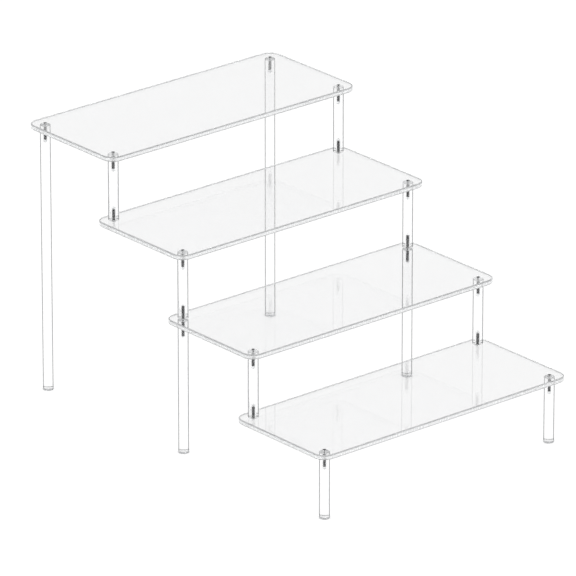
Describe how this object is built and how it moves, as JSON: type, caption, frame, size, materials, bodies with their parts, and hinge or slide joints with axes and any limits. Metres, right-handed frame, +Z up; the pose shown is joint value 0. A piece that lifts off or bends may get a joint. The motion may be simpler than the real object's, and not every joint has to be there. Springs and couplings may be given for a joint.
{
  "type": "tiered shelf riser",
  "caption": "Free-standing stepped display riser: clear rectangular shelves with round corners, carried one above another on clear round legs and spacers with threaded studs.",
  "frame": {"origin": "on the floor, under the middle of the riser's bounding box", "axes": "+X across the shelves to the right as seen from the front, +Y from the lowest shelf at the front to the highest at the back, +Z up"},
  "size_m": [0.3, 0.426, 0.268],
  "materials": {
    "clear_acrylic": "clear, polished",
    "stud_steel": "dark threaded steel",
    "foot_pad": "clear silicone"
  },
  "bodies": {
    "root": {"foot_pad_front_left": "foot_pad", "foot_pad_front_right": "foot_pad", "foot_pad_middle_left": "foot_pad", "foot_pad_middle_right": "foot_pad", "foot_pad_rear_left": "foot_pad", "foot_pad_rear_right": "foot_pad", "leg_front_left": "clear_acrylic", "leg_front_right": "clear_acrylic", "leg_middle_left": "clear_acrylic", "leg_middle_right": "clear_acrylic", "leg_rear_left": "clear_acrylic", "leg_rear_right": "clear_acrylic", "shelf_tier_1": "clear_acrylic", "shelf_tier_2": "clear_acrylic", "shelf_tier_3": "clear_acrylic", "shelf_tier_4": "clear_acrylic", "spacer_tier_1_to_2_left": "clear_acrylic", "spacer_tier_1_to_2_right": "clear_acrylic", "spacer_tier_2_to_3_left": "clear_acrylic", "spacer_tier_2_to_3_right": "clear_acrylic", "spacer_tier_3_to_4_left": "clear_acrylic", "spacer_tier_3_to_4_right": "clear_acrylic", "stud_tier_1_back_left": "stud_steel", "stud_tier_1_back_right": "stud_steel", "stud_tier_1_front_left": "stud_steel", "stud_tier_1_front_right": "stud_steel", "stud_tier_2_back_left": "stud_steel", "stud_tier_2_back_right": "stud_steel", "stud_tier_2_front_left": "stud_steel", "stud_tier_2_front_right": "stud_steel", "stud_tier_3_back_left": "stud_steel", "stud_tier_3_back_right": "stud_steel", "stud_tier_3_front_left": "stud_steel", "stud_tier_3_front_right": "stud_steel", "stud_tier_4_back_left": "stud_steel", "stud_tier_4_back_right": "stud_steel", "stud_tier_4_front_left": "stud_steel", "stud_tier_4_front_right": "stud_steel"}
  },
  "joints": []
}
